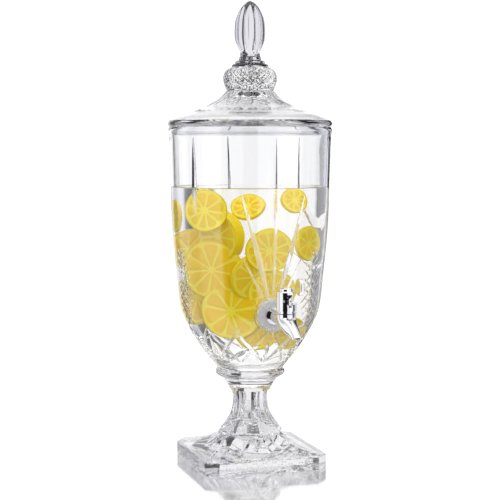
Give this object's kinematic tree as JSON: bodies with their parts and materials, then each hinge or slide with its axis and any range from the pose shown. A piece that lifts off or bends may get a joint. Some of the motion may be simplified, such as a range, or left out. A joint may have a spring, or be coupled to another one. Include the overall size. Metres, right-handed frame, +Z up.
{
  "type": "beverage dispenser",
  "caption": "Pressed-glass pedestal urn with a lift-off lid and finial and a sprung push-down chrome tap.",
  "frame": {"origin": "centre of the foot's underside, on the vessel's axis", "axes": "+Z up the vessel's axis; the tap faces -Y; +X to the right of the tap as it faces the viewer"},
  "size_m": [0.1918, 0.2762, 0.54],
  "materials": {
    "vessel_glass": "pressed, clear, fire-polished",
    "foot_glass": "pressed, clear, fire-polished",
    "lid_glass": "pressed, clear, fire-polished",
    "finial_glass": "pressed, clear, fire-polished",
    "clear_bond": "clear set adhesive",
    "chrome": "bright chrome plate",
    "steel": "plain stainless steel",
    "clear_seal": "translucent soft silicone",
    "dark_rubber": "matt black rubber",
    "clear_nut": "white moulded plastic"
  },
  "bodies": {
    "dispenser": {"pedestal": "foot_glass", "bond_disc": "clear_bond", "vessel": "vessel_glass", "outer_washer": "clear_seal", "inner_washer": "clear_seal", "lock_nut": "clear_nut", "tap_body": "chrome", "bonnet_seal": "dark_rubber", "tap_bonnet": "chrome", "tap_cap": "chrome", "stem_o_ring": "dark_rubber", "lever_pin": "steel"},
    "lid_assembly": {"lid": "lid_glass", "knop": "finial_glass", "finial": "finial_glass", "finial_screw": "steel", "screw_washer": "clear_seal"},
    "lever": {"tap_lever": "chrome"},
    "valve": {"valve_stem": "steel", "valve_seal": "dark_rubber", "return_spring": "steel"}
  },
  "joints": [
    {"name": "lid_lift", "type": "slide", "parent": "dispenser", "child": "lid_assembly", "axis": [0, 0, 1], "range_m": [0, 0.12]},
    {"name": "lever_press", "type": "hinge", "parent": "dispenser", "child": "lever", "pos_m": [0, -0.1365, 0.2055], "axis": [1, 0, 0], "range_deg": [0, 25], "stiffness_Nm_per_rad": 0.045, "springref_deg": -51.57},
    {"name": "stem_lift", "type": "slide", "parent": "dispenser", "child": "valve", "axis": [0, 0, 1], "range_m": [0, 0.0038], "deforming": ["return_spring"]}
  ],
  "couplings": [
    {"joint": "stem_lift", "follows": "lever_press", "m_per_rad": 0.0085}
  ]
}
